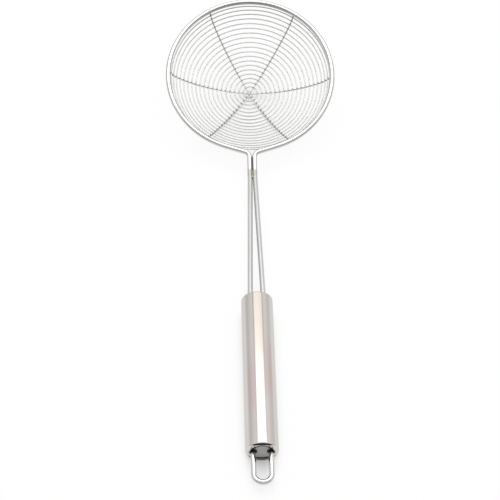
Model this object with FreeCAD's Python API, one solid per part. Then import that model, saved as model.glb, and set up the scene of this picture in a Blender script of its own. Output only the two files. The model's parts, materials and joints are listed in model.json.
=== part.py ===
import FreeCAD
import Part
import math
import os

# Wire spider skimmer. A hoop of bent wire carries a dished basket: six ribs under one spiral of finer wire.
# The hoop's two ends turn out at the neck, run down as legs and enter a hollow tube grip, which has a plug
# in each mouth and a wire loop to hang it by.
# Each piece is drawn in the hoop's own frame: hoop centre at zero, hoop plane at z = 0, handle towards -Y.
# The finished skimmer is then laid on a table, with the origin under the middle of its box.

Vector = FreeCAD.Vector

# Hoop and bowl
hoop_diameter = 140.0       # over the wire
hoop_wire = 4.0
bowl_depth = 36.4           # hoop's centre plane to the ribs' centre line at the hub
floor_radius = 92.0         # round curve of the bowl's floor
floor_width = 120.0         # across the floor, to where it turns up to the hoop

# Ribs and hub
rib_lead = math.radians(-2.4)       # turn of the whole basket from square to the handle
far_spread = math.radians(31.4)     # each rib of a pair from the line to the far side of the hoop
side_spread = math.radians(88.4)
near_spread = math.radians(147.7)
rib_wire = 1.2
rib_bead = 2.2              # bead of weld where a rib meets the hoop
hub_diameter = 3.0
hub_height = 1.7
hub_round = 0.5
weld_gap = 0.02             # hairline left between welded wires

# Spiral mesh
mesh_wire = 1.0
mesh_turns = 18.98
mesh_start = 3.8            # hub to the inner end, along the bowl
mesh_start_rib = 5          # rib that carries the inner end, counted from +X towards +Y
mesh_steps_per_turn = 4
mesh_points_per_turn = 24
mesh_bead = 2.2

# Neck and legs
handle_rise = math.radians(18.0)
hoop_draw = math.radians(18.0)      # from the handle's line to where the hoop runs straight on to the neck
neck_gap = 0.06
neck_bend = 5.0
neck_drop = 10.0            # straight on from the bends, in the hoop's plane
neck_run = 8.4              # on from the rise, side by side
neck_bead = 3.3
neck_bead_length = 7.0
rise_bend = 8.0
spread_bend = 60.0
leg_run = 130.4             # end of the rise to the front of the grip
leg_spacing = 10.2          # between centres at the front of the grip
leg_insert = 12.0

# Tube grip and its two plugs
grip_diameter = 24.0
grip_length = 135.4
grip_wall = 0.8
grip_shoulder = 1.5
grip_mouth = 17.4
plug_recess = 0.6           # mouth to the plug's face
plug_reveal = 0.4           # dark ring left open round the plug's face
plug_seat = 4.0             # mouth to the plug's flange
plug_flange = 3.0
seat_gap = 0.05
bore_gap = 0.1
fillet_bead = 1.2

# Hanging loop
loop_wire = 4.0
loop_width = 16.8           # over the wire
loop_reach = 26.7           # past the tail of the grip
loop_insert = 11.0

# Plain ratios
bead_top_share = 0.3
mesh_ease_share = 0.055     # how much closer than even the inner turns lie
tangent_step_share = 0.001
settle_rounds = 40
contact_points_per_turn = 200

# Sizes that follow
hoop_radius = (hoop_diameter - hoop_wire) / 2
hoop_half = hoop_wire / 2
floor_reach = floor_width / 2
rib_half = rib_wire / 2
mesh_half = mesh_wire / 2
grip_radius = grip_diameter / 2
mouth_radius = grip_mouth / 2
leg_offset = hoop_half + neck_gap / 2
loop_half = loop_wire / 2
loop_offset = (loop_width - loop_wire) / 2

# The bowl's section is two arcs in line: a floor and a tighter wall that ends at the hoop's centre line.
floor_angle = math.asin(floor_reach / floor_radius)
floor_rise = floor_radius * (1 - math.cos(floor_angle))
wall_chord = math.hypot(hoop_radius - floor_reach, bowl_depth - floor_rise)
wall_half_turn = math.atan2(bowl_depth - floor_rise, hoop_radius - floor_reach) - floor_angle
wall_radius = wall_chord / (2 * math.sin(wall_half_turn))
wall_angle = floor_angle + 2 * wall_half_turn
floor_length = floor_radius * floor_angle
wall_length = wall_radius * (wall_angle - floor_angle)

# The handle's own directions and stations along its axis
along = Vector(0, -math.cos(handle_rise), math.sin(handle_rise))
upward = Vector(0, math.sin(handle_rise), math.cos(handle_rise))
sideways = Vector(1, 0, 0)
draw_run = ((hoop_radius + neck_bend) * math.sin(hoop_draw) - leg_offset - neck_bend) / math.cos(hoop_draw)
neck_depth = (hoop_radius + neck_bend) * math.cos(hoop_draw) + draw_run * math.sin(hoop_draw)
rise_start = Vector(0, -neck_depth - neck_drop, 0)
rise_end = rise_start + Vector(0, -math.sin(handle_rise), 1 - math.cos(handle_rise)) * rise_bend
grip_front = rise_end + along * leg_run
grip_tail = grip_front + along * grip_length
spread_angle = math.atan2(leg_spacing / 2 - leg_offset, leg_run - neck_run)


def bowl_point(length, lift, turn):
    """Point of the bowl at a length along its section from the hub, lifted off the ribs' centre surface."""
    if length < floor_length:
        angle = length / floor_radius
        radius = (floor_radius - lift) * math.sin(angle)
        height = floor_radius - bowl_depth - (floor_radius - lift) * math.cos(angle)
    else:
        angle = floor_angle + (length - floor_length) / wall_radius
        shift = floor_radius - wall_radius
        radius = shift * math.sin(floor_angle) + (wall_radius - lift) * math.sin(angle)
        height = floor_radius - bowl_depth - shift * math.cos(floor_angle) - (wall_radius - lift) * math.cos(angle)
    return Vector(radius * math.cos(turn), radius * math.sin(turn), height)


def unit(vector):
    """Copy of a vector with a length of one."""
    return Vector(vector) / vector.Length


def line(start, end):
    """Straight edge."""
    return Part.LineSegment(start, end).toShape()


def arc(start, tangent, end):
    """Circular edge that leaves its start along a tangent."""
    chord = end - start
    lean = tangent.getAngle(chord)
    side = unit(tangent - unit(chord) * tangent.dot(unit(chord)))
    middle = start + chord / 2 + side * (chord.Length / 2 * math.tan(lean / 2))
    return Part.Arc(start, middle, end).toShape()


def biarc(start, start_tangent, end, end_tangent):
    """Two arcs in line that join two points along their tangents."""
    span = end - start
    both = start_tangent + end_tangent
    bend = 2 * (1 - start_tangent.dot(end_tangent))
    reach = (math.sqrt(span.dot(both) ** 2 + bend * span.dot(span)) - span.dot(both)) / bend
    joint = (start + end + (start_tangent - end_tangent) * reach) / 2
    joint_tangent = unit(end - end_tangent * reach - start - start_tangent * reach)
    return [arc(start, start_tangent, joint), arc(joint, joint_tangent, end)]


def bent_wire(edges, start, tangent, diameter):
    """Solid round wire along a path of edges."""
    ring = Part.Wire(Part.makeCircle(diameter / 2, start, tangent))
    return Part.Wire(edges).makePipeShell([ring], True, False)


def leg_route(side):
    """Points of one leg from the neck to its inner end; side is 1 or -1."""
    outward = sideways * side
    corner = rise_end + outward * leg_offset + along * neck_run
    spread = along * math.cos(spread_angle) + outward * math.sin(spread_angle)
    trim = spread_bend * math.tan(spread_angle / 2)
    reach = (leg_run - neck_run + leg_insert) / math.cos(spread_angle)
    hoop = Vector(side * math.sin(hoop_draw), -math.cos(hoop_draw), 0) * hoop_radius
    return {
        "hoop": hoop,
        "bend": hoop - Vector(side * math.cos(hoop_draw), math.sin(hoop_draw), 0) * draw_run,
        "neck": Vector(side * leg_offset, -neck_depth, 0),
        "drop": rise_start + outward * leg_offset,
        "rise": rise_end + outward * leg_offset,
        "corner_in": corner - along * trim,
        "corner_out": corner + spread * trim,
        "end": corner + spread * reach,
        "spread": spread,
        "mouth": corner + spread * ((leg_run - neck_run) / math.cos(spread_angle)),
    }


def make_frame_wire():
    """Hoop and both legs, bent from one wire."""
    left = leg_route(-1)
    right = leg_route(1)
    far = Vector(0, hoop_radius, 0)
    down = Vector(0, -1, 0)
    edges = [
        line(left["end"], left["corner_out"]),
        arc(left["corner_out"], left["spread"] * -1, left["corner_in"]),
        line(left["corner_in"], left["rise"]),
        arc(left["rise"], along * -1, left["drop"]),
        line(left["drop"], left["neck"]),
        arc(left["neck"], down * -1, left["bend"]),
        line(left["bend"], left["hoop"]),
        arc(left["hoop"], unit(Vector(left["hoop"].y, -left["hoop"].x, 0)), far),
        arc(far, sideways, right["hoop"]),
        line(right["hoop"], right["bend"]),
        arc(right["bend"], right["bend"] - right["hoop"], right["neck"]),
        line(right["neck"], right["drop"]),
        arc(right["drop"], down, right["rise"]),
        line(right["rise"], right["corner_in"]),
        arc(right["corner_in"], along, right["corner_out"]),
        line(right["corner_out"], right["end"]),
    ]
    return bent_wire(edges, left["end"], left["spread"] * -1, hoop_wire)


def make_neck_weld(frame):
    """Bead that fills the groove between the legs, just before they part."""
    start = rise_end + along * (neck_run - spread_bend * math.tan(spread_angle / 2) - neck_bead_length)
    return Part.makeCylinder(neck_bead / 2, neck_bead_length, start, along).cut(frame)


rib_spreads = (-side_spread, -far_spread, far_spread, side_spread, near_spread, -near_spread)


def rib_turn(index):
    """Angle of a rib about the bowl's axis; the ribs stand in three pairs."""
    return math.pi / 2 + rib_lead + rib_spreads[index]


def rib_end_length():
    """Length along the bowl's section where a rib meets the hoop's wire."""
    back = 2 * math.asin((hoop_half + weld_gap) / (2 * wall_radius))
    return floor_length + wall_length - back * wall_radius


def make_rib(index):
    """One rib from the hub to the hoop: a floor arc and a wall arc."""
    turn = rib_turn(index)
    outward = Vector(math.cos(turn), math.sin(turn), 0)
    start_length = hub_diameter / 2 + weld_gap
    start_angle = start_length / floor_radius
    start = bowl_point(start_length, 0, turn)
    start_tangent = outward * math.cos(start_angle) + Vector(0, 0, math.sin(start_angle))
    knee = bowl_point(floor_length, 0, turn)
    knee_tangent = outward * math.cos(floor_angle) + Vector(0, 0, math.sin(floor_angle))
    end = bowl_point(rib_end_length(), 0, turn)
    edges = [arc(start, start_tangent, knee), arc(knee, knee_tangent, end)]
    return bent_wire(edges, start, start_tangent, rib_wire)


def make_rib_welds(frame, ribs):
    """Beads round the ribs' outer ends, where they butt on the hoop."""
    beads = []
    for index, rib in enumerate(ribs):
        ball = Part.makeSphere(rib_bead / 2, bowl_point(rib_end_length(), 0, rib_turn(index)))
        beads.append(ball.cut(frame).cut(rib))
    return Part.makeCompound(beads)


def make_hub_weld():
    """Round button of weld that the ribs run into."""
    base = Vector(0, 0, -bowl_depth - hub_height / 2)
    button = Part.makeCylinder(hub_diameter / 2, hub_height, base)
    rims = [edge for edge in button.Edges if edge.Closed]
    return button.makeFillet(hub_round, rims)


mesh_lift = rib_half + mesh_half + weld_gap
mesh_end = floor_length + wall_length - hoop_half - mesh_half - weld_gap


def mesh_point(share):
    """Point of the spiral's centre line at a share of its turns; it widens clockwise seen from above."""
    turn = rib_turn(mesh_start_rib) - 2 * math.pi * mesh_turns * share
    reach = share - mesh_ease_share * share * (1 - share)
    return bowl_point(mesh_start + (mesh_end - mesh_start) * reach, mesh_lift, turn)


def mesh_tangent(share):
    """Direction of the spiral at a share of its turns."""
    before = max(0, share - tangent_step_share / mesh_turns)
    after = min(1, share + tangent_step_share / mesh_turns)
    return unit(mesh_point(after) - mesh_point(before))


def make_mesh_wire():
    """Spiral of the basket: one wire on biarcs of about a quarter turn."""
    steps = round(mesh_turns * mesh_steps_per_turn)
    edges = []
    for step in range(steps):
        first = step / steps
        second = (step + 1) / steps
        edges += biarc(mesh_point(first), mesh_tangent(first), mesh_point(second), mesh_tangent(second))
    return bent_wire(edges, mesh_point(0), mesh_tangent(0), mesh_wire)


def mesh_least_gap():
    """Least clear gap between the spiral's turns, measured on points of its centre line."""
    count = round(mesh_turns * mesh_points_per_turn)
    points = [mesh_point(index / count) for index in range(count + 1)]
    half_turn = mesh_points_per_turn // 2
    least = min(
        points[first].distanceToPoint(points[second])
        for first in range(len(points))
        for second in range(first + half_turn, min(len(points), first + 2 * mesh_points_per_turn))
    )
    return least - mesh_wire


def make_mesh_welds(frame, ribs, mesh):
    """Beads at the spiral's two ends: on a rib by the hub, and on the hoop."""
    inner_place = bowl_point(mesh_start, rib_half + weld_gap / 2, rib_turn(mesh_start_rib))
    inner = Part.makeSphere(mesh_bead / 2, inner_place).cut(mesh).cut(ribs[mesh_start_rib])
    outer = Part.makeSphere(mesh_bead / 2, mesh_point(1)).cut(mesh).cut(frame)
    return Part.makeCompound([inner, outer])


def turned(points, place, direction):
    """Solid of revolution from a section of edges in the local XZ plane, laid along a direction."""
    face = Part.Face(Part.Wire(points))
    solid = face.revolve(Vector(0, 0, 0), Vector(0, 0, 1), 360)
    solid.Placement = FreeCAD.Placement(place, FreeCAD.Rotation(Vector(0, 0, 1), direction))
    return solid


def make_grip():
    """Hollow tube with a rounded shoulder and a turned-in lip at each end."""
    core = grip_radius - grip_shoulder
    bore = grip_radius - grip_wall
    front = grip_shoulder
    tail = grip_length - grip_shoulder
    edges = [
        line(Vector(mouth_radius, 0, 0), Vector(core, 0, 0)),
        arc(Vector(core, 0, 0), Vector(1, 0, 0), Vector(grip_radius, 0, front)),
        line(Vector(grip_radius, 0, front), Vector(grip_radius, 0, tail)),
        arc(Vector(grip_radius, 0, tail), Vector(0, 0, 1), Vector(core, 0, grip_length)),
        line(Vector(core, 0, grip_length), Vector(mouth_radius, 0, grip_length)),
        line(Vector(mouth_radius, 0, grip_length), Vector(mouth_radius, 0, grip_length - grip_wall)),
        line(Vector(mouth_radius, 0, grip_length - grip_wall), Vector(core, 0, grip_length - grip_wall)),
        arc(Vector(core, 0, grip_length - grip_wall), Vector(1, 0, 0), Vector(bore, 0, tail)),
        line(Vector(bore, 0, tail), Vector(bore, 0, front)),
        arc(Vector(bore, 0, front), Vector(0, 0, -1), Vector(core, 0, grip_wall)),
        line(Vector(core, 0, grip_wall), Vector(mouth_radius, 0, grip_wall)),
        line(Vector(mouth_radius, 0, grip_wall), Vector(mouth_radius, 0, 0)),
    ]
    return turned(edges, grip_front, along)


plug_depth = plug_seat + plug_flange


def make_plug(place, inward, wires):
    """Stepped plug behind a lip of the grip, bored for two wires given as (point, direction, diameter)."""
    boss = mouth_radius - plug_reveal
    flange = grip_radius - grip_wall - seat_gap
    outline = [
        Vector(0, 0, plug_recess),
        Vector(boss, 0, plug_recess),
        Vector(boss, 0, plug_seat),
        Vector(flange, 0, plug_seat),
        Vector(flange, 0, plug_depth),
        Vector(0, 0, plug_depth),
    ]
    edges = [line(outline[index - 1], point) for index, point in enumerate(outline)]
    plug = turned(edges, place, inward)
    for point, direction, diameter in wires:
        start = point - direction * plug_depth
        bore = Part.makeCylinder(diameter / 2 + bore_gap, plug_depth * 3, start, direction)
        plug = plug.cut(bore)
    return plug


def make_plug_welds(inward, wires):
    """Fillet beads round two wires on the inner face of their plug."""
    beads = []
    for point, direction, diameter in wires:
        base = point + direction * (plug_depth / direction.dot(inward))
        foot = diameter / 2 + fillet_bead
        crown = diameter / 2 + fillet_bead * bead_top_share
        cone = Part.makeCone(foot, crown, fillet_bead, base + inward * weld_gap, inward)
        beads.append(cone.cut(Part.makeCylinder(diameter / 2, plug_depth * 2, base - direction * plug_depth, direction)))
    return Part.makeCompound(beads)


def make_loop():
    """Hanging loop: a U of wire whose ends pass through the tail plug."""
    inner = grip_tail - along * loop_insert
    arch = grip_tail + along * (loop_reach - loop_half - loop_offset)
    left = sideways * -loop_offset
    right = sideways * loop_offset
    tip = arch + along * loop_offset
    edges = [
        line(inner + left, arch + left),
        arc(arch + left, along, tip),
        arc(tip, sideways, arch + right),
        line(arch + right, inner + right),
    ]
    return bent_wire(edges, inner + left, along, loop_wire)


def basket_points():
    """Points of the ribs' and the spiral's centre lines, each with half its wire's thickness."""
    count = round(mesh_turns * contact_points_per_turn)
    points = [(mesh_point(index / count), mesh_half) for index in range(count + 1)]
    for index in range(len(rib_spreads)):
        for step in range(contact_points_per_turn):
            length = rib_end_length() * step / contact_points_per_turn
            points.append((bowl_point(length, 0, rib_turn(index)), rib_half))
    return points


def table_tilt():
    """Angle that lays the skimmer on the lowest wire of its basket and on the grip's tail shoulder."""
    points = basket_points()
    shoulder = grip_tail - along * grip_shoulder - upward * (grip_radius - grip_shoulder)
    least = 0
    most = math.pi / 4
    for _ in range(settle_rounds):
        tilt = (least + most) / 2
        down = Vector(0, -math.sin(tilt), -math.cos(tilt))
        basket = max(point.dot(down) + half for point, half in points)
        if basket > shoulder.dot(down) + grip_shoulder:
            least = tilt
        else:
            most = tilt
    return (least + most) / 2


def table_placement(tilt):
    """Placement that lays the skimmer down with the origin under the middle of its box."""
    turn = FreeCAD.Rotation(sideways, math.degrees(tilt))
    shoulder = turn.multVec(grip_tail - along * grip_shoulder - upward * (grip_radius - grip_shoulder))
    arch = turn.multVec(grip_tail + along * (loop_reach - loop_half - loop_offset))
    tail = arch.y - loop_offset * math.cos(tilt - handle_rise) - loop_half
    far = hoop_radius * math.cos(tilt) + hoop_half
    return FreeCAD.Placement(Vector(0, -(far + tail) / 2, grip_shoulder - shoulder.z), turn)


def make_skimmer():
    """Every sub-part by its node name, in the hoop's frame."""
    legs = [leg_route(side) for side in (-1, 1)]
    leg_wires = [(leg["mouth"], leg["spread"], hoop_wire) for leg in legs]
    loop_wires = [(grip_tail + sideways * side * loop_offset, along * -1, loop_wire) for side in (-1, 1)]
    frame = make_frame_wire()
    ribs = [make_rib(index) for index in range(len(rib_spreads))]
    mesh = make_mesh_wire()
    nodes = {
        "frame_wire": frame,
        "neck_weld": make_neck_weld(frame),
        "hub_weld": make_hub_weld(),
        "rib_end_welds": make_rib_welds(frame, ribs),
        "mesh_spiral": mesh,
        "mesh_end_welds": make_mesh_welds(frame, ribs, mesh),
        "handle_tube": make_grip(),
        "front_plug": make_plug(grip_front, along, leg_wires),
        "leg_welds": make_plug_welds(along, leg_wires),
        "tail_plug": make_plug(grip_tail, along * -1, loop_wires),
        "loop_welds": make_plug_welds(along * -1, loop_wires),
        "hanging_loop": make_loop(),
    }
    for index, rib in enumerate(ribs):
        nodes["rib_" + str(index + 1)] = rib
    return nodes


def export(nodes, placement):
    """Write one STEP file for each node, laid on the table."""
    os.makedirs("parts", exist_ok=True)
    for name, shape in nodes.items():
        placed = shape.copy()
        placed.Placement = placement.multiply(placed.Placement)
        placed.exportStep(os.path.join("parts", name + ".step"))
        print(name, "solids", len(placed.Solids), "valid", placed.isValid(), "volume", round(placed.Volume, 2))


print("mesh: least gap to itself", round(mesh_least_gap(), 2), "mm")
rest_tilt = table_tilt()
print("table tilt", round(math.degrees(rest_tilt), 2), "degrees; wall radius", round(wall_radius, 2))
export(make_skimmer(), table_placement(rest_tilt))
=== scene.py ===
"""Looks of a wire spider skimmer: spiral wire, weld beads, steel finishes, light and camera."""

import json
import logging
import math
import random
from dataclasses import dataclass, field
from enum import Enum

import bmesh
import bpy
from mathutils import Matrix, Vector

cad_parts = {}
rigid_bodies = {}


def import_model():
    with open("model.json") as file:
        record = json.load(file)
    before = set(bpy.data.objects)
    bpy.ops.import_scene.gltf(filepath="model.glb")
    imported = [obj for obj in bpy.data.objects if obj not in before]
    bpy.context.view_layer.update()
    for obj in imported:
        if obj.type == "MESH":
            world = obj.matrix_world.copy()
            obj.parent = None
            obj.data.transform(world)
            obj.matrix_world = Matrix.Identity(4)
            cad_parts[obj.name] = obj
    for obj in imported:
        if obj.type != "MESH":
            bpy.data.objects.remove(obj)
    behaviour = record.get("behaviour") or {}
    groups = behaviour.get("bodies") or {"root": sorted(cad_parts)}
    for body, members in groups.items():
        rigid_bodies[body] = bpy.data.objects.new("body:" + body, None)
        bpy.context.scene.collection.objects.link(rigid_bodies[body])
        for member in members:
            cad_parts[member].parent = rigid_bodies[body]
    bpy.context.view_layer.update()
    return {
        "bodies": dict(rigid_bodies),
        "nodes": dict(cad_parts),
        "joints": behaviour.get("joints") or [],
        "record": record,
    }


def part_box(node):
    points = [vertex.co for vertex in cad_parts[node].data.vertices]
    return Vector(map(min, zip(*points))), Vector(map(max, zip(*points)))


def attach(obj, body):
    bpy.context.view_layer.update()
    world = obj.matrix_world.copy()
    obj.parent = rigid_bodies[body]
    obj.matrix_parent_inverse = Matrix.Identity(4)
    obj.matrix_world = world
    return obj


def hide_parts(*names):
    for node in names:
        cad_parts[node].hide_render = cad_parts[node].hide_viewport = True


log = logging.getLogger("skimmer")

Socket = bpy.types.NodeSocket
Node = bpy.types.Node
Tree = bpy.types.NodeTree
Piece = bpy.types.Object
Material = bpy.types.Material
Colour = tuple[float, float, float]
Point = tuple[float, float, float]
Span = tuple[float, float]
Parts = dict[str, object]
WHITE: Colour = (1.0, 1.0, 1.0)
ROOT = "root"
WHOLE_SHIFT = 8.5  # half a turn on, with whole turns added to stay above zero


class Grain(Enum):
    """Way that the fine marks of a steel surface run."""

    EVEN = (1.0, 1.0, 1.0)
    LENGTHWISE = (1.0, 0.02, 1.0)


@dataclass
class Graph:
    """Adds and links the nodes of one shader tree, of a material, world or group."""

    tree: Tree

    def add(self, kind: str, **settings: object) -> Node:
        """Adds a node and sets its properties.

        Args:
            kind: Blender's name of the node type.
            settings: Properties of the node by name.

        Returns:
            The new node.
        """
        node = self.tree.nodes.new(kind)
        for name, value in settings.items():
            setattr(node, name, value)
        return node

    def feed(self, socket: Socket, source: object) -> None:
        """Links an output to an input socket, or sets the socket to a plain value.

        Args:
            socket: Input socket.
            source: Output socket, number, vector or colour.
        """
        if isinstance(source, Socket):
            self.tree.links.new(source, socket)
        else:
            socket.default_value = source

    def fill(self, node: Node, *sources: object) -> Node:
        """Feeds a node's inputs in their order.

        Args:
            node: Node to feed.
            sources: Output sockets or plain values.

        Returns:
            The same node.
        """
        for socket, source in zip(node.inputs, sources):
            self.feed(socket, source)
        return node

    def sum(self, operation: str, *terms: object, clamp: bool = False) -> Socket:
        """Adds a Math node.

        Args:
            operation: Name of the operation, such as MULTIPLY.
            terms: Numbers or output sockets, in order.
            clamp: Whether the result stays between zero and one.

        Returns:
            The node's value.
        """
        node = self.add("ShaderNodeMath", operation=operation, use_clamp=clamp)
        return self.fill(node, *terms).outputs[0]

    def times(self, *factors: object) -> Socket:
        """Multiplies two or more numbers or output sockets."""
        product = factors[0]
        for factor in factors[1:]:
            product = self.sum("MULTIPLY", product, factor)
        return product

    def from_whole(self, value: object) -> Socket:
        """Finds how far a number lies from the nearest whole number."""
        shifted = self.sum("FRACT", self.sum("ADD", value, WHOLE_SHIFT))
        return self.sum("ABSOLUTE", self.sum("SUBTRACT", shifted, 0.5))

    def split(self, vector: object) -> list[Socket]:
        """Splits a vector into its three parts."""
        return list(self.fill(self.add("ShaderNodeSeparateXYZ"), vector).outputs)

    def grow(self, value: object, span: Span) -> Socket:
        """Maps a span to zero at its start and one at its end."""
        return self.remap(value, *span, 0.0, 1.0)

    def fade(self, value: object, span: Span) -> Socket:
        """Maps a span to one at its start and zero at its end."""
        return self.remap(value, *span, 1.0, 0.0)

    def remap(self, value: object, low: float, high: float, to_low: float, to_high: float) -> Socket:
        """Adds a clamped smooth Map Range node.

        Args:
            value: Output socket to map.
            low: Start of the range read.
            high: End of the range read.
            to_low: Result at the start.
            to_high: Result at the end.

        Returns:
            The mapped value.
        """
        node = self.add("ShaderNodeMapRange", interpolation_type="SMOOTHSTEP")
        return self.fill(node, value, low, high, to_low, to_high).outputs[0]

    def mix(self, share: object, first: object, second: object) -> Socket:
        """Adds a colour Mix node.

        Args:
            share: How much of the second colour.
            first: First colour or output.
            second: Second colour or output.

        Returns:
            The mixed colour.
        """
        node = self.add("ShaderNodeMix", data_type="RGBA")
        self.feed(node.inputs[0], share)
        self.feed(node.inputs[6], rgba(first))
        self.feed(node.inputs[7], rgba(second))
        return node.outputs[2]

    def noise(self, vector: object, scale: float, detail: float = 2.0) -> Socket:
        """Adds a Noise Texture node.

        Args:
            vector: Output socket with the place.
            scale: Noise scale, per metre.
            detail: Octaves.

        Returns:
            The noise value.
        """
        node = self.add("ShaderNodeTexNoise")
        self.feed(node.inputs["Vector"], vector)
        self.feed(node.inputs["Scale"], scale)
        self.feed(node.inputs["Detail"], detail)
        return node.outputs["Fac"]

    def place(self) -> Socket:
        """Returns the point's place in the object's own frame, in metres."""
        return self.add("ShaderNodeTexCoord").outputs["Object"]


def rgba(colour: object) -> object:
    """Gives a plain colour its fourth number, and passes an output socket through."""
    if isinstance(colour, tuple) and len(colour) == 3:
        return (*colour, 1.0)
    return colour


@dataclass(frozen=True)
class BowlForm:
    """Dished form that the ribs and the spiral follow, laid on the table with the hoop tilted."""

    hoop_radius: float = 0.068
    depth: float = 0.0364
    floor_radius: float = 0.092
    floor_reach: float = 0.060
    tilt: float = math.radians(18.021799)
    centre: Point = (0.0, 0.1543182, 0.0386271)
    rib_lead: float = math.radians(-2.4)
    far_spread: float = math.radians(31.4)
    side_spread: float = math.radians(88.4)
    near_spread: float = math.radians(147.7)
    rib_half: float = 0.0006
    hoop_half: float = 0.002

    @property
    def floor_angle(self) -> float:
        """Angle at which the floor turns into the wall."""
        return math.asin(self.floor_reach / self.floor_radius)

    @property
    def wall_rise(self) -> float:
        """Height of the wall."""
        return self.depth - self.floor_radius * (1 - math.cos(self.floor_angle))

    @property
    def wall_half_turn(self) -> float:
        """Half the angle that the wall arc turns through."""
        return math.atan2(self.wall_rise, self.hoop_radius - self.floor_reach) - self.floor_angle

    @property
    def wall_radius(self) -> float:
        """Radius of the wall arc."""
        chord = math.hypot(self.hoop_radius - self.floor_reach, self.wall_rise)
        return chord / (2 * math.sin(self.wall_half_turn))

    @property
    def floor_length(self) -> float:
        """Length of the floor arc from the hub."""
        return self.floor_radius * self.floor_angle

    @property
    def section_length(self) -> float:
        """Length of the whole section, from the hub to the hoop's centre line."""
        return self.floor_length + self.wall_radius * 2 * self.wall_half_turn

    @property
    def rib_turns(self) -> list[float]:
        """Angles of the ribs about the bowl's axis; they stand in three pairs."""
        side, far, near = self.side_spread, self.far_spread, self.near_spread
        return [math.pi / 2 + self.rib_lead + spread for spread in (-side, -far, far, side, near, -near)]

    def point(self, length: float, lift: float, turn: float) -> Vector:
        """Finds a point of the bowl.

        Args:
            length: Length along the section from the hub.
            lift: Height off the ribs' centre surface, towards the inside.
            turn: Angle about the bowl's axis.

        Returns:
            The point in the shared frame.
        """
        base = self.floor_radius - self.depth
        if length < self.floor_length:
            angle = length / self.floor_radius
            radius = (self.floor_radius - lift) * math.sin(angle)
            height = base - (self.floor_radius - lift) * math.cos(angle)
        else:
            angle = self.floor_angle + (length - self.floor_length) / self.wall_radius
            shift = self.floor_radius - self.wall_radius
            radius = shift * math.sin(self.floor_angle) + (self.wall_radius - lift) * math.sin(angle)
            height = base - shift * math.cos(self.floor_angle) - (self.wall_radius - lift) * math.cos(angle)
        local = Vector((radius * math.cos(turn), radius * math.sin(turn), height))
        return Matrix.Rotation(self.tilt, 3, "X") @ local + Vector(self.centre)


@dataclass(frozen=True)
class SpiralForm:
    """Course of the spiral wire over the ribs."""

    bowl: BowlForm
    wire: float = 0.0010
    turns: float = 18.98
    ease_share: float = 0.055
    start: float = 0.0038
    start_rib: int = 5
    weld_gap: float = 0.00002

    @property
    def lift(self) -> float:
        """Height of the spiral's centre line off the ribs' centre surface."""
        return self.bowl.rib_half + self.wire / 2 + self.weld_gap

    @property
    def end(self) -> float:
        """Length along the section at the outer end, beside the hoop."""
        return self.bowl.section_length - self.bowl.hoop_half - self.wire / 2 - self.weld_gap

    @property
    def pitch(self) -> float:
        """Mean step of the spiral along the section in one turn."""
        return (self.end - self.start) / self.turns

    def turn(self, share: float) -> float:
        """Angle about the bowl's axis at a share of the spiral; it widens clockwise seen from above."""
        return self.bowl.rib_turns[self.start_rib] - 2 * math.pi * self.turns * share

    def length(self, share: float) -> float:
        """Finds how far out the spiral is; its turns stand a little closer by the hub.

        Args:
            share: Share of the spiral, from its inner end.

        Returns:
            Length along the section from the hub.
        """
        reach = share - self.ease_share * share * (1 - share)
        return self.start + (self.end - self.start) * reach

    def point(self, share: float, lift: float) -> Vector:
        """Point above the ribs' centre surface at a share of the spiral."""
        return self.bowl.point(self.length(share), lift, self.turn(share))

    def crossings(self) -> list[float]:
        """Lists where the spiral passes over a rib, as shares of the spiral."""
        found = []
        for turn in self.bowl.rib_turns:
            lag = (self.turn(0.0) - turn) / (2 * math.pi) % 1.0
            laps = range(0 if lag > 0 else 1, int(self.turns - lag) + 1)
            found += [(lag + lap) / self.turns for lap in laps]
        return sorted(found)


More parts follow.
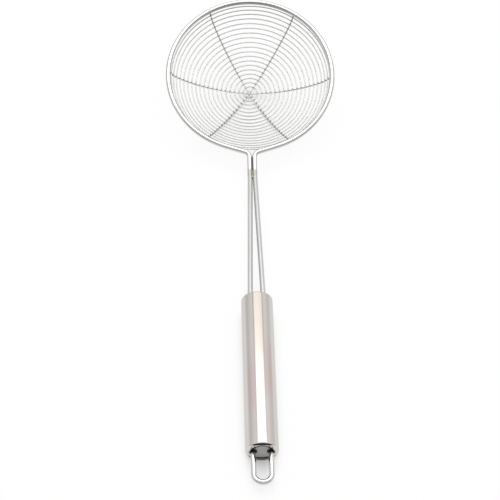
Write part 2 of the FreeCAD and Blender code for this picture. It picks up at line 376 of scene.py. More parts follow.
class SharedEffects:
    """Shader node groups that more than one finish uses."""

    coarse_share = 0.23
    fine_weight = 0.6
    coarse_weight = 0.4
    streak_span: Span = (0.3, 0.7)
    cloud_span: Span = (0.35, 0.65)
    ragged_scale = 900.0
    ragged_spread = 0.35
    core_span: Span = (0.35, 0.75)
    rim_span: Span = (0.65, 1.0)
    mark_span: Span = (0.45, 1.0)

    def __init__(self, spiral: SpiralForm) -> None:
        """Builds the groups once.

        Args:
            spiral: Course of the spiral, which the basket marks follow.
        """
        self.spiral = spiral
        self.grain = self.make_grain()
        self.tint_or_shade = self.make_tint_or_shade()
        self.marks = self.make_marks()

    @staticmethod
    def start_group(
        name: str, inputs: dict[str, str], outputs: dict[str, str]
    ) -> tuple[Tree, Graph, Node, Node]:
        """Starts a node group with named sockets.

        Args:
            name: Name of the group.
            inputs: Socket types by input name.
            outputs: Socket types by output name.

        Returns:
            The group, its graph, its input node and its output node.
        """
        group = bpy.data.node_groups.new(name, "ShaderNodeTree")
        for label, kind in inputs.items():
            group.interface.new_socket(label, in_out="INPUT", socket_type="NodeSocket" + kind)
        for label, kind in outputs.items():
            group.interface.new_socket(label, in_out="OUTPUT", socket_type="NodeSocket" + kind)
        graph = Graph(group)
        return group, graph, graph.add("NodeGroupInput"), graph.add("NodeGroupOutput")

    def make_grain(self) -> Tree:
        """Builds the group for the fine marks and broad cloudiness of worked steel."""
        group, graph, given, result = self.start_group(
            "worked_grain",
            {"Place": "Vector", "Run": "Vector", "Fineness": "Float", "Cloud Size": "Float"},
            {"Streak": "Float", "Cloud": "Float"},
        )
        run = graph.add("ShaderNodeVectorMath", operation="MULTIPLY")
        graph.fill(run, given.outputs["Place"], given.outputs["Run"])
        fine = graph.noise(run.outputs[0], given.outputs["Fineness"], 3.0)
        coarse = graph.noise(run.outputs[0], graph.times(given.outputs["Fineness"], self.coarse_share), 2.0)
        streak = graph.sum("MULTIPLY_ADD", fine, self.fine_weight, graph.times(coarse, self.coarse_weight))
        cloud = graph.noise(given.outputs["Place"], given.outputs["Cloud Size"], 3.0)
        graph.feed(result.inputs["Streak"], graph.grow(streak, self.streak_span))
        graph.feed(result.inputs["Cloud"], graph.grow(cloud, self.cloud_span))
        return group

    def make_tint_or_shade(self) -> Tree:
        """Builds the group for a ragged tint round a place: the tint that welding heat leaves by a weld, or
        painted shade round a hole.
        """
        group, graph, given, result = self.start_group(
            "heat_tint_or_painted_shade",
            {"Place": "Vector", "Centre": "Vector", "Reach": "Float",
             "Steel": "Color", "Core": "Color", "Fringe": "Color"},
            {"Colour": "Color", "Mask": "Float"},
        )
        away = graph.add("ShaderNodeVectorMath", operation="DISTANCE")
        graph.fill(away, given.outputs["Place"], given.outputs["Centre"])
        ragged = graph.noise(given.outputs["Place"], self.ragged_scale, 2.0)
        spread = graph.times(graph.sum("SUBTRACT", ragged, 0.5), self.ragged_spread)
        ratio = graph.sum("ADD", graph.sum("DIVIDE", away.outputs["Value"], given.outputs["Reach"]), spread)
        # core and fringe colours in a ring; for a hole these colours are painted shade
        ring = graph.grow(ratio, self.core_span)
        burnt = graph.mix(ring, given.outputs["Core"], given.outputs["Fringe"])
        mask = graph.fade(ratio, self.rim_span)
        graph.feed(result.inputs["Colour"], graph.mix(mask, given.outputs["Steel"], burnt))
        graph.feed(result.inputs["Mask"], mask)
        return group

    def make_marks(self) -> Tree:
        """Builds the group for the dark marks where the spiral is welded to the ribs."""
        spiral = self.spiral
        bowl = spiral.bowl
        group, graph, given, result = self.start_group(
            "crossing_marks",
            {"Place": "Vector", "Reach": "Float"},
            {"On Rib": "Float", "On Spiral": "Float", "Outward": "Float"},
        )
        move = graph.add("ShaderNodeVectorMath", operation="SUBTRACT")
        graph.fill(move, given.outputs["Place"], bowl.centre)
        level = graph.add("ShaderNodeVectorRotate", rotation_type="X_AXIS")
        graph.feed(level.inputs["Vector"], move.outputs[0])
        graph.feed(level.inputs["Angle"], -bowl.tilt)
        across, along, _ = graph.split(level.outputs[0])
        squares = graph.sum("ADD", graph.times(across, across), graph.times(along, along))
        radius = graph.sum("SQRT", squares)
        turn = graph.sum("ARCTAN2", along, across)
        shift = (bowl.floor_radius - bowl.wall_radius) * math.sin(bowl.floor_angle)
        wall_sine = graph.sum("DIVIDE", graph.sum("SUBTRACT", radius, shift), bowl.wall_radius)
        wall_slope = graph.sum("SUBTRACT", graph.sum("ARCSINE", wall_sine), bowl.floor_angle)
        climb = graph.times(wall_slope, bowl.wall_radius)
        wall = graph.sum("ADD", graph.sum("MAXIMUM", climb, 0.0), bowl.floor_length)
        floor_slope = graph.sum("ARCSINE", graph.sum("DIVIDE", radius, bowl.floor_radius))
        floor = graph.times(floor_slope, bowl.floor_radius)
        on_wall = graph.sum("GREATER_THAN", radius, bowl.floor_reach)
        on_floor = graph.sum("SUBTRACT", 1.0, on_wall)
        length = graph.sum("ADD", graph.times(wall, on_wall), graph.times(floor, on_floor))
        wound = graph.sum("DIVIDE", graph.sum("SUBTRACT", spiral.turn(0.0), turn), 2 * math.pi)
        reach = graph.sum("DIVIDE", graph.sum("SUBTRACT", length, spiral.start), spiral.end - spiral.start)
        even = (1 - spiral.ease_share) / (2 * spiral.ease_share)
        root = graph.sum("SQRT", graph.sum("MULTIPLY_ADD", reach, 1 / spiral.ease_share, even * even))
        steps = graph.times(graph.sum("SUBTRACT", root, even), spiral.turns)
        near_spiral = graph.times(graph.from_whole(graph.sum("SUBTRACT", steps, wound)), spiral.pitch)
        nearest = 1.0
        for rib_turn in bowl.rib_turns:
            lean = graph.sum("DIVIDE", graph.sum("SUBTRACT", turn, rib_turn), 2 * math.pi)
            nearest = graph.sum("MINIMUM", nearest, graph.from_whole(lean))
        near_rib = graph.times(nearest, radius, 2 * math.pi)
        for label, near in (("On Rib", near_spiral), ("On Spiral", near_rib)):
            ratio = graph.sum("DIVIDE", near, given.outputs["Reach"])
            graph.feed(result.inputs[label], graph.fade(ratio, self.mark_span))
        graph.feed(result.inputs["Outward"], graph.sum("DIVIDE", radius, bowl.hoop_radius, clamp=True))
        return group


@dataclass(frozen=True)
class Tint:
    """Ragged spot round a place: heat colours by a weld, or painted shade round a hole."""

    centre: Point
    reach: float
    core: Colour
    fringe: Colour
    dulling: float = 0.16

    def lay(self, graph: Graph, effects: SharedEffects, parts: Parts) -> None:
        """Lays the spot over a finish's open outputs.

        Args:
            graph: Graph of the material.
            effects: Shared node groups.
            parts: Open outputs by name, changed in place.
        """
        tint_or_shade = graph.add("ShaderNodeGroup", node_tree=effects.tint_or_shade)
        spot = (self.centre, self.reach, parts["colour"], rgba(self.core), rgba(self.fringe))
        graph.fill(tint_or_shade, parts["place"], *spot)
        parts["colour"] = tint_or_shade.outputs["Colour"]
        parts["rough"] = graph.sum("MULTIPLY_ADD", tint_or_shade.outputs["Mask"], self.dulling, parts["rough"])


@dataclass(frozen=True)
class SteelFinish:
    """One finish of worked steel: colour, gloss and the scale of its marks."""

    name: str
    colour: Colour
    shade: Colour
    roughness: float
    spread: float = 0.06
    grain: Grain = Grain.EVEN
    fineness: float = 900.0
    cloud_size: float = 60.0
    depth: float = 0.00002
    edge: float = 1.0
    streak_weight: float = 0.6
    cloud_weight: float = 0.4
    bump_strength: float = 0.35
    mark_dulling: float = 0.15
    hub_span: Span = (0.06, 0.35)
    hub_mark_share: float = 0.3

    def start(self, effects: SharedEffects) -> tuple[Material, Graph, Node, Parts]:
        """Makes the material with its grain, ready for further effects.

        Args:
            effects: Shared node groups.

        Returns:
            The material, its graph, its surface shader and the open outputs by name.
        """
        material = bpy.data.materials.new(self.name)
        material.use_nodes = True
        graph = Graph(material.node_tree)
        surface = material.node_tree.nodes["Principled BSDF"]
        surface.inputs["Metallic"].default_value = 1.0
        surface.inputs["Specular Tint"].default_value = (self.edge, self.edge, self.edge, 1.0)
        place = graph.place()
        grain = graph.add("ShaderNodeGroup", node_tree=effects.grain)
        graph.fill(grain, place, self.grain.value, self.fineness, self.cloud_size)
        streak, cloud = grain.outputs["Streak"], grain.outputs["Cloud"]
        worn = graph.sum("MULTIPLY_ADD", streak, self.streak_weight, graph.times(cloud, self.cloud_weight))
        rough = graph.sum("MULTIPLY_ADD", worn, 2 * self.spread, self.roughness - self.spread)
        colour = graph.mix(worn, self.shade, self.colour)
        bump = graph.add("ShaderNodeBump")
        bump.inputs["Strength"].default_value = self.bump_strength
        bump.inputs["Distance"].default_value = self.depth
        graph.feed(bump.inputs["Height"], streak)
        graph.feed(surface.inputs["Normal"], bump.outputs[0])
        return material, graph, surface, {"place": place, "colour": colour, "rough": rough, "cloud": cloud}

    def close(self, graph: Graph, surface: Node, parts: Parts) -> None:
        """Feeds the finished colour and roughness to the surface shader.

        Args:
            graph: Graph of the material.
            surface: Surface shader.
            parts: Outputs by name.
        """
        graph.feed(surface.inputs["Base Color"], parts["colour"])
        graph.feed(surface.inputs["Roughness"], parts["rough"])

    def tinted(self, effects: SharedEffects, *tints: Tint) -> Material:
        """Makes the material with its grain and ragged spots round some places.

        Args:
            effects: Shared node groups.
            tints: The spots, if any.

        Returns:
            The material.
        """
        material, graph, surface, parts = self.start(effects)
        for tint in tints:
            tint.lay(graph, effects, parts)
        self.close(graph, surface, parts)
        return material

    def spotted(self, effects: SharedEffects, output: str, mark: Colour, reach: float) -> Material:
        """Makes the material with dark spots where the spiral and the ribs are welded.

        Args:
            effects: Shared node groups.
            output: Which mask of the crossing marks to use.
            mark: Colour of the spots.
            reach: How far a spot goes along the wire, in metres.

        Returns:
            The material.
        """
        material, graph, surface, parts = self.start(effects)
        marks = graph.add("ShaderNodeGroup", node_tree=effects.marks)
        graph.fill(marks, parts["place"], reach)
        strength = graph.remap(marks.outputs["Outward"], *self.hub_span, self.hub_mark_share, 1.0)
        parts["colour"] = graph.mix(graph.times(marks.outputs[output], strength), parts["colour"], mark)
        parts["rough"] = graph.sum("MULTIPLY_ADD", marks.outputs[output], self.mark_dulling, parts["rough"])
        self.close(graph, surface, parts)
        return material


class MeshMaker:
    """Turns points into mesh objects."""

    dome_share = 0.35

    @staticmethod
    def tube(name: str, centres: list[Vector], normals: list[Vector], radius: float, sides: int) -> Piece:
        """Sweeps a round wire along points, with domed ends.

        Args:
            name: Name of the object.
            centres: Points of the centre line.
            normals: A direction across the wire at each point.
            radius: Half the wire's thickness.
            sides: Points round the wire.

        Returns:
            The wire as an object.
        """
        shape = bmesh.new()
        rings = []
        last = len(centres) - 1
        for index, (centre, normal) in enumerate(zip(centres, normals)):
            ahead = (centres[min(index + 1, last)] - centres[max(index - 1, 0)]).normalized()
            side = ahead.cross(normal).normalized()
            up = side.cross(ahead)
            ring = []
            for step in range(sides):
                angle = 2 * math.pi * step / sides
                out = up * math.cos(angle) + side * math.sin(angle)
                ring.append(shape.verts.new(centre + out * radius))
            rings.append(ring)
        for first, second in zip(rings, rings[1:]):
            for step in range(sides):
                follow = (step + 1) % sides
                shape.faces.new((first[step], first[follow], second[follow], second[step]))
        for ring, tip, inner in ((rings[0], centres[0], centres[1]), (rings[-1], centres[-1], centres[-2])):
            out = (tip - inner).normalized()
            top = shape.verts.new(tip + out * radius * MeshMaker.dome_share)
            for step in range(sides):
                pair = (ring[step], ring[(step + 1) % sides])
                shape.faces.new((pair[1], pair[0], top) if ring is rings[0] else (pair[0], pair[1], top))
        return MeshMaker.finish(name, shape)

    @staticmethod
    def finish(name: str, shape: bmesh.types.BMesh) -> Piece:
        """Closes a bmesh into a smooth object of the scene.

        Args:
            name: Name of the object.
            shape: The bmesh, which is freed.

        Returns:
            The object.
        """
        bmesh.ops.recalc_face_normals(shape, faces=shape.faces)
        mesh = bpy.data.meshes.new(name)
        shape.to_mesh(mesh)
        shape.free()
        mesh.polygons.foreach_set("use_smooth", [True] * len(mesh.polygons))
        piece = bpy.data.objects.new(name, mesh)
        bpy.context.scene.collection.objects.link(piece)
        return piece


@dataclass
class Basket:
    """Spiral wire, its weld beads and the ribs under them."""

    spiral: SpiralForm
    nodes: dict[str, Piece]
    rings_per_turn: int = 96
    sides: int = 10
    bead_size: Point = (0.00066, 0.00070, 0.00052)
    bead_swell: float = 0.07
    bead_seed: int = 11
    bead_free_turns: float = 0.4
    nudge_share: float = 0.01
    lift_step: float = 0.001
    spiral_mark: Colour = (0.44, 0.42, 0.39)
    spiral_mark_reach: float = 0.0012
    rib_mark: Colour = (0.55, 0.53, 0.49)
    rib_mark_reach: float = 0.0010
    spiral_finish: SteelFinish = SteelFinish(
        "drawn_mesh_wire", (0.66, 0.655, 0.64), (0.57, 0.565, 0.55), 0.34, fineness=2500.0
    )
    rib_finish: SteelFinish = SteelFinish(
        "rib_wire", (0.74, 0.73, 0.71), (0.65, 0.64, 0.62), 0.34, fineness=2500.0
    )
    weld_finish: SteelFinish = SteelFinish(
        "weld_bead", (0.46, 0.44, 0.41), (0.32, 0.30, 0.27), 0.42, 0.08, fineness=2600.0, depth=0.00006
    )
    tail_finish: SteelFinish = SteelFinish(
        "bright_weld", (0.70, 0.69, 0.67), (0.60, 0.59, 0.57), 0.30, 0.06, fineness=2600.0, depth=0.00003
    )

    def build(self) -> list[Piece]:
        """Builds the spiral wire and the beads at its crossings.

        Returns:
            The two new pieces.
        """
        count = round(self.spiral.turns * self.rings_per_turn)
        shares = [index / count for index in range(count + 1)]
        centres = [self.spiral.point(share, self.spiral.lift) for share in shares]
        raised = [self.spiral.point(share, 2 * self.spiral.lift) for share in shares]
        normals = [above - centre for above, centre in zip(raised, centres)]
        wire = MeshMaker.tube("spiral_wire", centres, normals, self.spiral.wire / 2, self.sides)
        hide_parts("mesh_spiral")
        beads = self.build_beads()
        for piece in (wire, beads):
            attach(piece, ROOT)
        return [wire, beads]

    def build_beads(self) -> Piece:
        """Builds the small uneven weld beads between the spiral and the ribs, as one object."""
        chance = random.Random(self.bead_seed)
        shape = bmesh.new()
        lift = self.spiral.bowl.rib_half + self.spiral.weld_gap / 2
        nudge = self.nudge_share / (self.spiral.turns * self.rings_per_turn)
        for share in self.spiral.crossings():
            if share > 1 - self.bead_free_turns / self.spiral.turns:
                continue
            place = self.spiral.point(share, lift)
            along = (self.spiral.point(share - nudge, lift) - place).normalized()
            up = (self.spiral.point(share, lift + self.lift_step) - place).normalized()
            out = up.cross(along).normalized()
            frame = Matrix((out, along, up)).transposed()
            ball = bmesh.ops.create_icosphere(shape, subdivisions=2, radius=1.0)
            for vert in ball["verts"]:
                swell = 1 + chance.uniform(-self.bead_swell, self.bead_swell)
                local = Vector([part * size * swell for part, size in zip(vert.co, self.bead_size)])
                vert.co = place + frame @ local
        return MeshMaker.finish("crossing_beads", shape)

    def dress(self, effects: SharedEffects, pieces: list[Piece]) -> None:
        """Gives the spiral, the beads, the ribs and their welds their finishes.

        Args:
            effects: Shared node groups.
            pieces: The pieces from build.
        """
        wire, beads = pieces
        drawn = self.spiral_finish.spotted(effects, "On Spiral", self.spiral_mark, self.spiral_mark_reach)
        put_on(wire, drawn)
        weld = self.weld_finish.tinted(effects)
        put_on(beads, weld)
        rib = self.rib_finish.spotted(effects, "On Rib", self.rib_mark, self.rib_mark_reach)
        for name, node in self.nodes.items():
            if name.startswith("rib_") and name != "rib_end_welds":
                put_on(node, rib)
        for name in ("hub_weld", "leg_welds", "loop_welds"):
            put_on(self.nodes[name], weld)
        bright = self.tail_finish.tinted(effects)
        for name in ("rib_end_welds", "mesh_end_welds"):
            put_on(self.nodes[name], bright)


@dataclass
class WireFrame:
    """Hoop with its legs, the neck weld and the hanging loop."""

    nodes: dict[str, Piece]
    neck_reach: float = 0.0062
    straw: Colour = (0.68, 0.665, 0.62)
    olive: Colour = (0.60, 0.58, 0.52)
    bead_end: Colour = (0.50, 0.485, 0.44)
    bead_end_reach: float = 0.0026
    wire_half: float = 0.002
    neck_half: float = 0.00203
    spread_half: float = 0.0051
    spread_start: float = 0.0631
    spread_end: float = -0.0589
    weld_end: float = 0.0715
    slit_end: float = 0.0833
    blend_run: float = 0.002
    face_span: Span = (0.42, 0.85)
    # colour of the painted shade on the legs' facing sides and on the hoop's far inner side
    shade: Colour = (0.08, 0.075, 0.07)
    shade_dulling: float = 0.5
    leg_shade_share: float = 0.4
    slit_shade_share: float = 0.92
    far_shade_share: float = 0.45
    far_span: Span = (0.198, 0.218)
    far_facing: Span = (-0.8, -0.35)
    # painted shade round the loop's exits from the tail plug: core and fringe colours
    exit_shade_core: Colour = (0.012, 0.011, 0.010)
    exit_shade_fringe: Colour = (0.10, 0.095, 0.09)
    exit_reach: float = 0.0038
    exit_half: float = 0.0064
    exit_dulling: float = 0.3
    wire_finish: SteelFinish = SteelFinish(
        "polished_wire", (0.77, 0.765, 0.755), (0.70, 0.695, 0.68), 0.14, 0.03,
        fineness=1600.0, depth=0.00001, edge=0.9,
    )
    neck_finish: SteelFinish = SteelFinish(
        "neck_weld_metal", (0.30, 0.288, 0.245), (0.21, 0.20, 0.172), 0.42, 0.08,
        fineness=2600.0, depth=0.00006,
    )

    def slit_and_leg_shade(self, graph: Graph, place: Socket) -> Socket:
        """Marks the faces that the two legs turn to each other, for painted shade between them.

        Args:
            graph: Graph of the material.
            place: The point's place.

        Returns:
            Mask, strongest in the slit at the neck.
        """
        across, along, _ = graph.split(place)
        aside = graph.sum("ABSOLUTE", across)
        run = graph.sum("SUBTRACT", self.spread_start, along)
        share = graph.sum("DIVIDE", run, self.spread_start - self.spread_end, clamp=True)
        middle = graph.sum("MULTIPLY_ADD", share, self.spread_half - self.neck_half, self.neck_half)
        inward = graph.sum("DIVIDE", graph.sum("SUBTRACT", middle, aside), self.wire_half)
        face = graph.grow(inward, self.face_span)
        strength = graph.remap(
            along, self.weld_end - self.blend_run, self.weld_end, self.leg_shade_share, self.slit_shade_share
        )
        inside = graph.fade(along, (self.slit_end - self.blend_run, self.slit_end + self.blend_run))
        return graph.times(face, strength, inside)

    def far_rim_painted_shade(self, graph: Graph, place: Socket) -> Socket:
        """Marks the inner side of the hoop's far part for painted shade, which stands in for a dark
        reflection.

        Args:
            graph: Graph of the material.
            place: The point's place.

        Returns:
            Mask, strongest on the side that faces the legs.
        """
        normal = graph.add("ShaderNodeNewGeometry").outputs["Normal"]
        side = graph.remap(graph.split(normal)[1], *self.far_facing, self.far_shade_share, 0.0)
        return graph.times(side, graph.grow(graph.split(place)[1], self.far_span))

    def exits(self) -> list[Tint]:
        """Lists the painted shade spots where the loop's two ends leave the tail plug."""
        low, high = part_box("tail_plug")
        height = (low[2] + high[2]) / 2
        spots = []
        for side in (-1.0, 1.0):
            place = (side * self.exit_half, float(low[1]), float(height))
            spots.append(Tint(place, self.exit_reach, self.exit_shade_core, self.exit_shade_fringe, self.exit_dulling))
        return spots

    def dress(self, effects: SharedEffects) -> None:
        """Gives the wires their polish, the neck its heat tint, and painted shade to the legs' facing sides,
        the hoop's far inner side and the loop's exits.

        Args:
            effects: Shared node groups.
        """
        low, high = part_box("neck_weld")
        neck = (Vector(low) + Vector(high)) / 2
        material, graph, surface, parts = self.wire_finish.start(effects)
        Tint(tuple(neck), self.neck_reach, self.olive, self.straw).lay(graph, effects, parts)
        # painted shade on the legs' facing sides, darkest in the slit at the neck; the metal there is made
        # less metallic to darken it further
        inner = self.slit_and_leg_shade(graph, parts["place"])
        parts["colour"] = graph.mix(inner, parts["colour"], self.shade)
        parts["rough"] = graph.sum("MULTIPLY_ADD", inner, self.shade_dulling, parts["rough"])
        graph.feed(surface.inputs["Metallic"], graph.sum("SUBTRACT", 1.0, inner))
        # painted shade, for a dark reflection, on the inner side of the hoop's far part
        parts["colour"] = graph.mix(self.far_rim_painted_shade(graph, parts["place"]), parts["colour"], self.shade)
        self.wire_finish.close(graph, surface, parts)
        put_on(self.nodes["frame_wire"], material)
        # the loop wears painted shade where it leaves the tail plug
        put_on(self.nodes["hanging_loop"], self.wire_finish.tinted(effects, *self.exits()))
        end = Tint((0.0, float(low[1]), float(neck.z)), self.bead_end_reach, self.bead_end, self.bead_end)
        put_on(self.nodes["neck_weld"], self.neck_finish.tinted(effects, end))


@dataclass
class Grip:
    """Hollow tube grip and its two plugs."""

    nodes: dict[str, Piece]
    radius: float = 0.012
    blush: Colour = (0.79, 0.665, 0.64)
    blush_shift: float = 0.06
    blush_half: float = 0.004
    blush_tail: Span = (0.20, 0.32)
    blush_front: Span = (0.52, 0.70)
    blush_cloud: float = 0.8
    stripe_side: Span = (0.22, 0.36)
    flank_side: Span = (0.68, 0.82)
    warm_reflection: Colour = (0.745, 0.665, 0.605)
    warm_reflection_span: Span = (0.48, 0.68)
    # colour of the painted shade on the lower part of the tube's tail lip
    lip_shade: Colour = (0.16, 0.155, 0.15)
    lip_span: Span = (0.00039, 0.0013)
    lip_height: Span = (-0.0065, -0.0035)
    # colour of the painted shade under the tube's upper lip, on the tube and on the plug
    gap_shade: Colour = (0.02, 0.019, 0.018)
    gap_span: Span = (0.0002, 0.0006)
    gap_height: Span = (0.0086, 0.0094)
    plug_gap_reach: Span = (0.0064, 0.0072)
    plug_gap_height: Span = (0.0005, 0.004)
    tube_finish: SteelFinish = SteelFinish(
        "satin_tube", (0.80, 0.757, 0.722), (0.75, 0.705, 0.67), 0.12, 0.025,
        Grain.LENGTHWISE, 700.0, 24.0, 0.000006, 0.85,
    )
    plug_finish: SteelFinish = SteelFinish(
        "dull_plug", (0.54, 0.53, 0.53), (0.44, 0.43, 0.43), 0.45, 0.08, Grain.EVEN, 1500.0, 120.0, 0.00003
    )

    def dress(self, effects: SharedEffects, exits: list[Tint]) -> None:
        """Gives the tube its satin finish, with a painted warm reflection and painted shade at its tail, and
        the plugs a dull one.

        Args:
            effects: Shared node groups.
            exits: Painted shade spots where the loop leaves the tail plug.
        """
        low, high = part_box("handle_tube")
        length = high[1] - low[1]
        material, graph, surface, parts = self.tube_finish.start(effects)
        across, along, height = graph.split(parts["place"])
        tail = graph.sum("SUBTRACT", along, float(low[1]))
        share = graph.sum("DIVIDE", tail, float(length))
        height = graph.sum("SUBTRACT", height, self.radius)
        shift = graph.remap(across, -self.blush_half, self.blush_half, self.blush_shift, -self.blush_shift)
        reach = graph.sum("ADD", share, shift)
        middle = graph.times(graph.grow(reach, self.blush_tail), graph.fade(reach, self.blush_front))
        aside = graph.sum("DIVIDE", graph.sum("ABSOLUTE", across), self.radius)
        flank = graph.grow(aside, self.stripe_side)
        flush = graph.times(middle, flank, graph.fade(aside, self.flank_side))
        cloud = graph.sum("MULTIPLY_ADD", parts["cloud"], self.blush_cloud, 1.0 - self.blush_cloud)
        parts["colour"] = graph.mix(graph.times(flush, cloud), parts["colour"], self.blush)
        # painted warm reflection on the top of the tube towards its front, away from the sides
        front = graph.times(graph.grow(share, self.warm_reflection_span), graph.sum("SUBTRACT", 1.0, flank))
        parts["colour"] = graph.mix(front, parts["colour"], self.warm_reflection)
        # painted shade on the lower part of the tube's tail lip
        low_lip_shade = graph.times(graph.fade(tail, self.lip_span), graph.fade(height, self.lip_height))
        parts["colour"] = graph.mix(low_lip_shade, parts["colour"], self.lip_shade)
        # painted shade at the top of the tube's mouth, under its upper lip
        brow_shade = graph.times(graph.fade(tail, self.gap_span), graph.grow(height, self.gap_height))
        parts["colour"] = graph.mix(brow_shade, parts["colour"], self.gap_shade)
        # painted shade round the loop's exits, on the tube's end as well
        for tint in exits:
            tint.lay(graph, effects, parts)
        self.tube_finish.close(graph, surface, parts)
        put_on(self.nodes["handle_tube"], material)
        put_on(self.nodes["front_plug"], self.plug_finish.tinted(effects))
        self.dress_tail(effects, exits)

    def dress_tail(self, effects: SharedEffects, exits: list[Tint]) -> None:
        """Gives the tail plug its dull finish, with painted shade in the gap under the tube's upper lip.

        Args:
            effects: Shared node groups.
            exits: Painted shade spots where the loop leaves the plug.
        """
        material, graph, surface, parts = self.plug_finish.start(effects)
        # painted shade round the loop's exits on the plug
        for tint in exits:
            tint.lay(graph, effects, parts)
        across, _, height = graph.split(parts["place"])
        height = graph.sum("SUBTRACT", height, self.radius)
        away = graph.sum("SQRT", graph.sum("MULTIPLY_ADD", height, height, graph.times(across, across)))
        # painted shade on the plug's upper edge, under the tube's upper lip
        ring = graph.times(graph.grow(away, self.plug_gap_reach), graph.grow(height, self.plug_gap_height))
        parts["colour"] = graph.mix(ring, parts["colour"], self.gap_shade)
        self.plug_finish.close(graph, surface, parts)
        put_on(self.nodes["tail_plug"], material)


def put_on(piece: Piece, material: Material) -> None:
    """Puts one material on a whole piece.

    Args:
        piece: Mesh object.
        material: Material that takes the place of any others.
    """
    if piece.material_slots:
        for holder in piece.material_slots:
            holder.material = material
    else:
        piece.data.materials.append(material)
    log.info("%s wears %s", piece.name, material.name)


@dataclass
class Panel:
    """Soft rectangular lamp."""

    name: str
    place: Point
    aim: Point
    size: tuple[float, float]
    power: float

    def build(self) -> None:
        """Hangs the lamp and points it."""
        lamp = bpy.data.lights.new(self.name, "AREA")
        lamp.shape = "RECTANGLE"
        lamp.size, lamp.size_y = self.size
        lamp.energy = self.power
        piece = bpy.data.objects.new(self.name, lamp)
        piece.location = self.place
        piece.rotation_euler = (Vector(self.aim) - Vector(self.place)).to_track_quat("-Z", "Y").to_euler()
        bpy.context.scene.collection.objects.link(piece)


@dataclass
class PaleFloor:
    """Pale ground, which keeps the object's shadow, partly lit and partly painted, and is clear from below.
    """

    size: float = 12.0
    drop: float = 0.0001
    colour: Colour = (0.95, 0.95, 0.95)
    glow: float = 0.9
    contact_reach: float = 0.045
    contact_span: Span = (0.05, 0.685)
    contact_level: float = 0.3
    mirror_span: Span = (0.02, 0.20)
    mirror_levels: Span = (0.87, 0.65)
    # depth of the painted shadow on the floor behind the tail
    tail_shadow_depth: float = 0.16
    tail_span: Span = (-0.198, -0.180)
    tail_side: Span = (0.006, 0.016)
    tail_side_share: float = 0.15

    def build(self) -> None:
        """Lays the floor and paints it."""
        shape = bmesh.new()
        bmesh.ops.create_grid(shape, x_segments=1, y_segments=1, size=self.size / 2)
        floor = MeshMaker.finish("pale_floor", shape)
        floor.location = (0.0, 0.0, -self.drop)
        material = bpy.data.materials.new("pale_floor_paint")
        material.use_nodes = True
        tree = material.node_tree
        graph = Graph(tree)
        tree.nodes.remove(tree.nodes["Principled BSDF"])
        matte = graph.add("ShaderNodeBsdfDiffuse")
        graph.feed(matte.inputs["Color"], rgba(self.colour))
        seen, straight = self.seen_rays(graph)
        light = graph.add("ShaderNodeEmission")
        graph.feed(light.inputs["Strength"], self.shown_level(graph, straight))
        blend = graph.add("ShaderNodeMixShader")
        graph.fill(blend, graph.times(seen, self.glow), matte.outputs[0], light.outputs[0])
        under = graph.add("ShaderNodeNewGeometry").outputs["Backfacing"]
        clear = graph.add("ShaderNodeBsdfTransparent").outputs[0]
        one_sided = graph.fill(graph.add("ShaderNodeMixShader"), under, blend.outputs[0], clear)
        graph.feed(tree.nodes["Material Output"].inputs["Surface"], one_sided.outputs[0])
        floor.data.materials.append(material)

    def shown_level(self, graph: Graph, straight: Socket) -> Socket:
        """Works out how bright the floor shows: painted shadow, darker by the object from ambient occlusion
        and behind the tail by place, and dimmer far off in a reflection.

        Args:
            graph: Graph of the material.
            straight: One for a ray straight from the camera.

        Returns:
            The level, where one is white.
        """
        # painted contact shadow from ambient occlusion, deepened behind the tail by place
        open_sky = graph.add("ShaderNodeAmbientOcclusion")
        graph.feed(open_sky.inputs["Distance"], self.contact_reach)
        across, along, _ = graph.split(graph.place())
        beside = graph.sum("ABSOLUTE", across)
        tail = graph.remap(along, *self.tail_span, -self.tail_shadow_depth, 0.0)
        tail = graph.times(tail, graph.remap(beside, *self.tail_side, 1.0, self.tail_side_share))
        sky = graph.sum("ADD", open_sky.outputs["AO"], tail)
        clear = graph.remap(sky, *self.contact_span, self.contact_level, 1.0)
        mirrored = graph.remap(beside, *self.mirror_span, *self.mirror_levels)
        return graph.times(clear, graph.sum("MAXIMUM", straight, mirrored))

    @staticmethod
    def seen_rays(graph: Graph) -> tuple[Socket, Socket]:
        """Marks the rays that show the floor, straight or in a reflection, and the straight ones alone."""
        path = graph.add("ShaderNodeLightPath")
        mirrored = graph.sum("MAXIMUM", path.outputs["Is Glossy Ray"], path.outputs["Is Transmission Ray"])
        straight = path.outputs["Is Camera Ray"]
        return graph.sum("MAXIMUM", straight, mirrored), straight


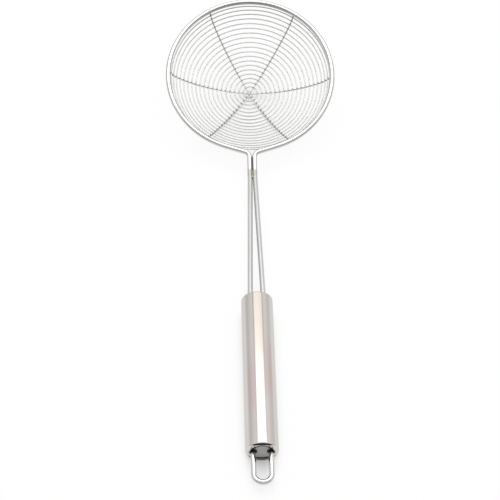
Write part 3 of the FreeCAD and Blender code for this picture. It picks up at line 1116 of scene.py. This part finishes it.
@dataclass
class Surroundings:
    """Grey walls, dark low on the camera's side, with a pale strip under the far lamp."""

    wall_span: Span = (0.1, 0.6)
    wall_levels: Span = (0.64, 0.80)
    side_step: float = 0.04
    dark_share: float = 0.62
    dark_ahead: Span = (-0.55, -0.15)
    dark_height: Span = (0.35, 0.62)
    far_span: Span = (0.05, 0.2)
    strip_lean: float = math.radians(2.5)
    strip_half: float = math.radians(29.5)
    strip_edge: Span = (-0.03, 0.02)
    strip_level: float = 1.08
    strip_fall: float = 0.2
    rise_span: Span = (math.radians(48), math.radians(53))
    rise_gain: float = 0.10
    climb_span: Span = (math.radians(53), math.radians(59))
    climb_gain: float = 0.55
    drop_span: Span = (math.radians(58.2), math.radians(58.8))
    drop_gain: float = -0.4
    border_share: float = 0.3
    border_inner: Span = (0.0, 0.05)
    border_outer: Span = (0.10, 0.22)
    border_span: Span = (math.radians(54), math.radians(57))
    border_least: float = 0.2

    def build(self) -> None:
        """Builds the world, which the camera itself sees as white."""
        world = bpy.data.worlds.new("studio_surroundings")
        bpy.context.scene.world = world
        world.use_nodes = True
        graph = Graph(world.node_tree)
        backdrop = world.node_tree.nodes["Background"]
        aside, ahead, height = graph.split(graph.add("ShaderNodeTexCoord").outputs["Generated"])
        roll = graph.sum("SUBTRACT", graph.sum("ARCTAN2", aside, height), self.strip_lean)
        beyond = graph.sum("SUBTRACT", graph.sum("ABSOLUTE", roll), self.strip_half)
        away = graph.sum("ARCCOSINE", ahead)
        far = graph.grow(ahead, self.far_span)
        walls = self.wall_level(graph, aside, ahead, height)
        border = graph.times(graph.grow(beyond, self.border_inner), graph.fade(beyond, self.border_outer))
        reach = graph.times(far, graph.remap(away, *self.border_span, 1.0, self.border_least))
        border = graph.times(border, reach, -self.border_share)
        walls = graph.times(walls, graph.sum("ADD", border, 1.0))
        strip = graph.times(graph.fade(beyond, self.strip_edge), far)
        gain = graph.times(strip, graph.sum("SUBTRACT", self.strip_shine(graph, roll, away), walls))
        seen = graph.add("ShaderNodeLightPath").outputs["Is Camera Ray"]
        graph.feed(backdrop.inputs["Color"], rgba(WHITE))
        graph.feed(backdrop.inputs["Strength"], graph.sum("MAXIMUM", seen, graph.sum("ADD", walls, gain)))

    def wall_level(self, graph: Graph, aside: object, ahead: object, height: object) -> Socket:
        """Works out the walls' level from the parts of a direction."""
        walls = graph.remap(height, *self.wall_span, *self.wall_levels)
        walls = graph.sum("MULTIPLY_ADD", aside, self.side_step, walls)
        near = graph.times(graph.fade(ahead, self.dark_ahead), graph.fade(height, self.dark_height))
        return graph.times(walls, graph.sum("MULTIPLY_ADD", near, -self.dark_share, 1.0))

    def strip_shine(self, graph: Graph, roll: object, away: object) -> Socket:
        """Works out the pale strip's level from the angles across it and from straight ahead."""
        rise = graph.remap(away, *self.rise_span, 0.0, self.rise_gain)
        climb = graph.remap(away, *self.climb_span, 0.0, self.climb_gain)
        drop = graph.remap(away, *self.drop_span, 0.0, self.drop_gain)
        pale = graph.sum("ADD", graph.sum("ADD", rise, climb), graph.sum("ADD", drop, self.strip_level))
        fall = graph.sum("MULTIPLY_ADD", graph.sum("MAXIMUM", roll, 0.0), -self.strip_fall, 1.0)
        return graph.times(pale, fall)


@dataclass
class Viewpoint:
    """Camera where the photograph was taken from."""

    lens_pixels: float = 1700.0
    frame_pixels: float = 500.0
    sensor: float = 36.0
    azimuth: float = math.radians(-2.6348)
    elevation: float = math.radians(51.6274)
    roll: float = math.radians(1.4965)
    target: Point = (-0.0035349, -0.0005651, 0.0)
    distance: float = 1.3444724

    def build(self) -> None:
        """Sets the camera up."""
        flat = math.cos(self.elevation)
        sine, cosine = math.sin(self.azimuth), math.cos(self.azimuth)
        back = Vector((sine * flat, -cosine * flat, math.sin(self.elevation)))
        right = Vector((0.0, 0.0, 1.0)).cross(back).normalized()
        up = back.cross(right)
        rolled = right * math.cos(self.roll) + up * math.sin(self.roll)
        raised = up * math.cos(self.roll) - right * math.sin(self.roll)
        lens = bpy.data.cameras.new("studio_camera")
        lens.sensor_fit = "HORIZONTAL"
        lens.sensor_width = self.sensor
        lens.lens = self.lens_pixels / self.frame_pixels * self.sensor
        camera = bpy.data.objects.new("studio_camera", lens)
        turn = Matrix((rolled, raised, back)).transposed().to_4x4()
        camera.matrix_world = Matrix.Translation(Vector(self.target) + back * self.distance) @ turn
        bpy.context.scene.collection.objects.link(camera)
        bpy.context.scene.camera = camera


@dataclass
class Studio:
    """Pale floor, grey surroundings, soft lamps and the camera."""

    floor: PaleFloor = field(default_factory=PaleFloor)
    surroundings: Surroundings = field(default_factory=Surroundings)
    lamps: list[Panel] = field(default_factory=lambda: [
        Panel("far_panel", (0.07, 0.44, 1.48), (0.07, 0.44, 0.0), (1.71, 0.68), 8.0),
    ])
    viewpoint: Viewpoint = field(default_factory=Viewpoint)

    def build(self) -> None:
        """Builds the whole stage."""
        bpy.context.scene.view_settings.view_transform = "Standard"
        self.floor.build()
        self.surroundings.build()
        for lamp in self.lamps:
            lamp.build()
        self.viewpoint.build()


def main() -> None:
    """Loads the frame, builds and dresses each sub-assembly, and sets the stage."""
    logging.basicConfig(level=logging.INFO, format="%(name)s: %(message)s")
    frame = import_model()
    nodes = frame["nodes"]
    spiral = SpiralForm(BowlForm())
    effects = SharedEffects(spiral)
    basket = Basket(spiral, nodes)
    pieces = basket.build()
    basket.dress(effects, pieces)
    wires = WireFrame(nodes)
    wires.dress(effects)
    Grip(nodes).dress(effects, wires.exits())
    Studio().build()


if __name__ == "__main__":
    main()
